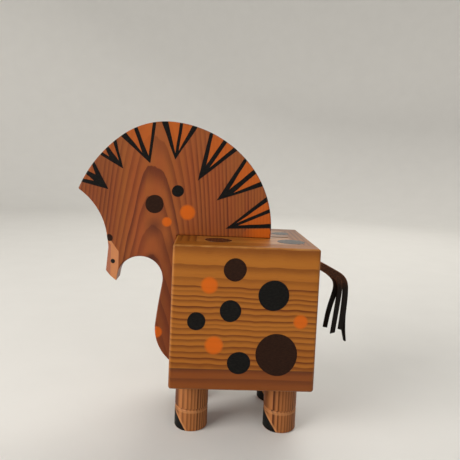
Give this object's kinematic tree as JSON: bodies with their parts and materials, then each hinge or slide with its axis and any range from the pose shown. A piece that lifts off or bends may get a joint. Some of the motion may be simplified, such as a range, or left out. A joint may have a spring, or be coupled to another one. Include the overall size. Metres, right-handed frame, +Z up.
{
  "type": "wooden horse figure",
  "caption": "Free-standing wooden horse: a glued box body on dowel legs, a flat sawn board for head, mane and chest lapped over its front top edge, and a tail of leather thongs.",
  "frame": {"origin": "on the ground, at the middle of the woodwork's length and width, tail thongs left out", "axes": "+Z up, +X from the head to the tail, -Y is the horse's left side"},
  "size_m": [0.2096, 0.1, 0.2218],
  "materials": {
    "body_wood": "clear gloss lacquer over fine-grained golden softwood",
    "base_wood": "clear gloss lacquer over reddish softwood",
    "head_wood": "clear satin lacquer over red-brown figured softwood",
    "leg_wood": "turned, clear lacquer, straight stripes of grain",
    "spline_wood": "bare",
    "tail_leather": "dyed nearly black, matte with worn brown edges",
    "black_paint": "hand-brushed black enamel, gloss",
    "orange_paint": "thin brushed orange paint, satin, the grain shows faintly through",
    "brown_paint": "hand-brushed dark brown enamel, satin"
  },
  "bodies": {
    "root": {"bottom_board": "base_wood", "left_side_board": "body_wood", "right_side_board": "body_wood", "front_board": "body_wood", "rear_board": "body_wood", "top_board": "body_wood", "head_plate": "head_wood", "head_spline": "spline_wood", "front_left_leg": "leg_wood", "front_right_leg": "leg_wood", "rear_left_leg": "leg_wood", "rear_right_leg": "leg_wood", "tail_peg": "spline_wood", "tail_thong_1": "tail_leather", "tail_thong_2": "tail_leather", "tail_thong_3": "tail_leather", "tail_thong_4": "tail_leather"}
  },
  "joints": []
}
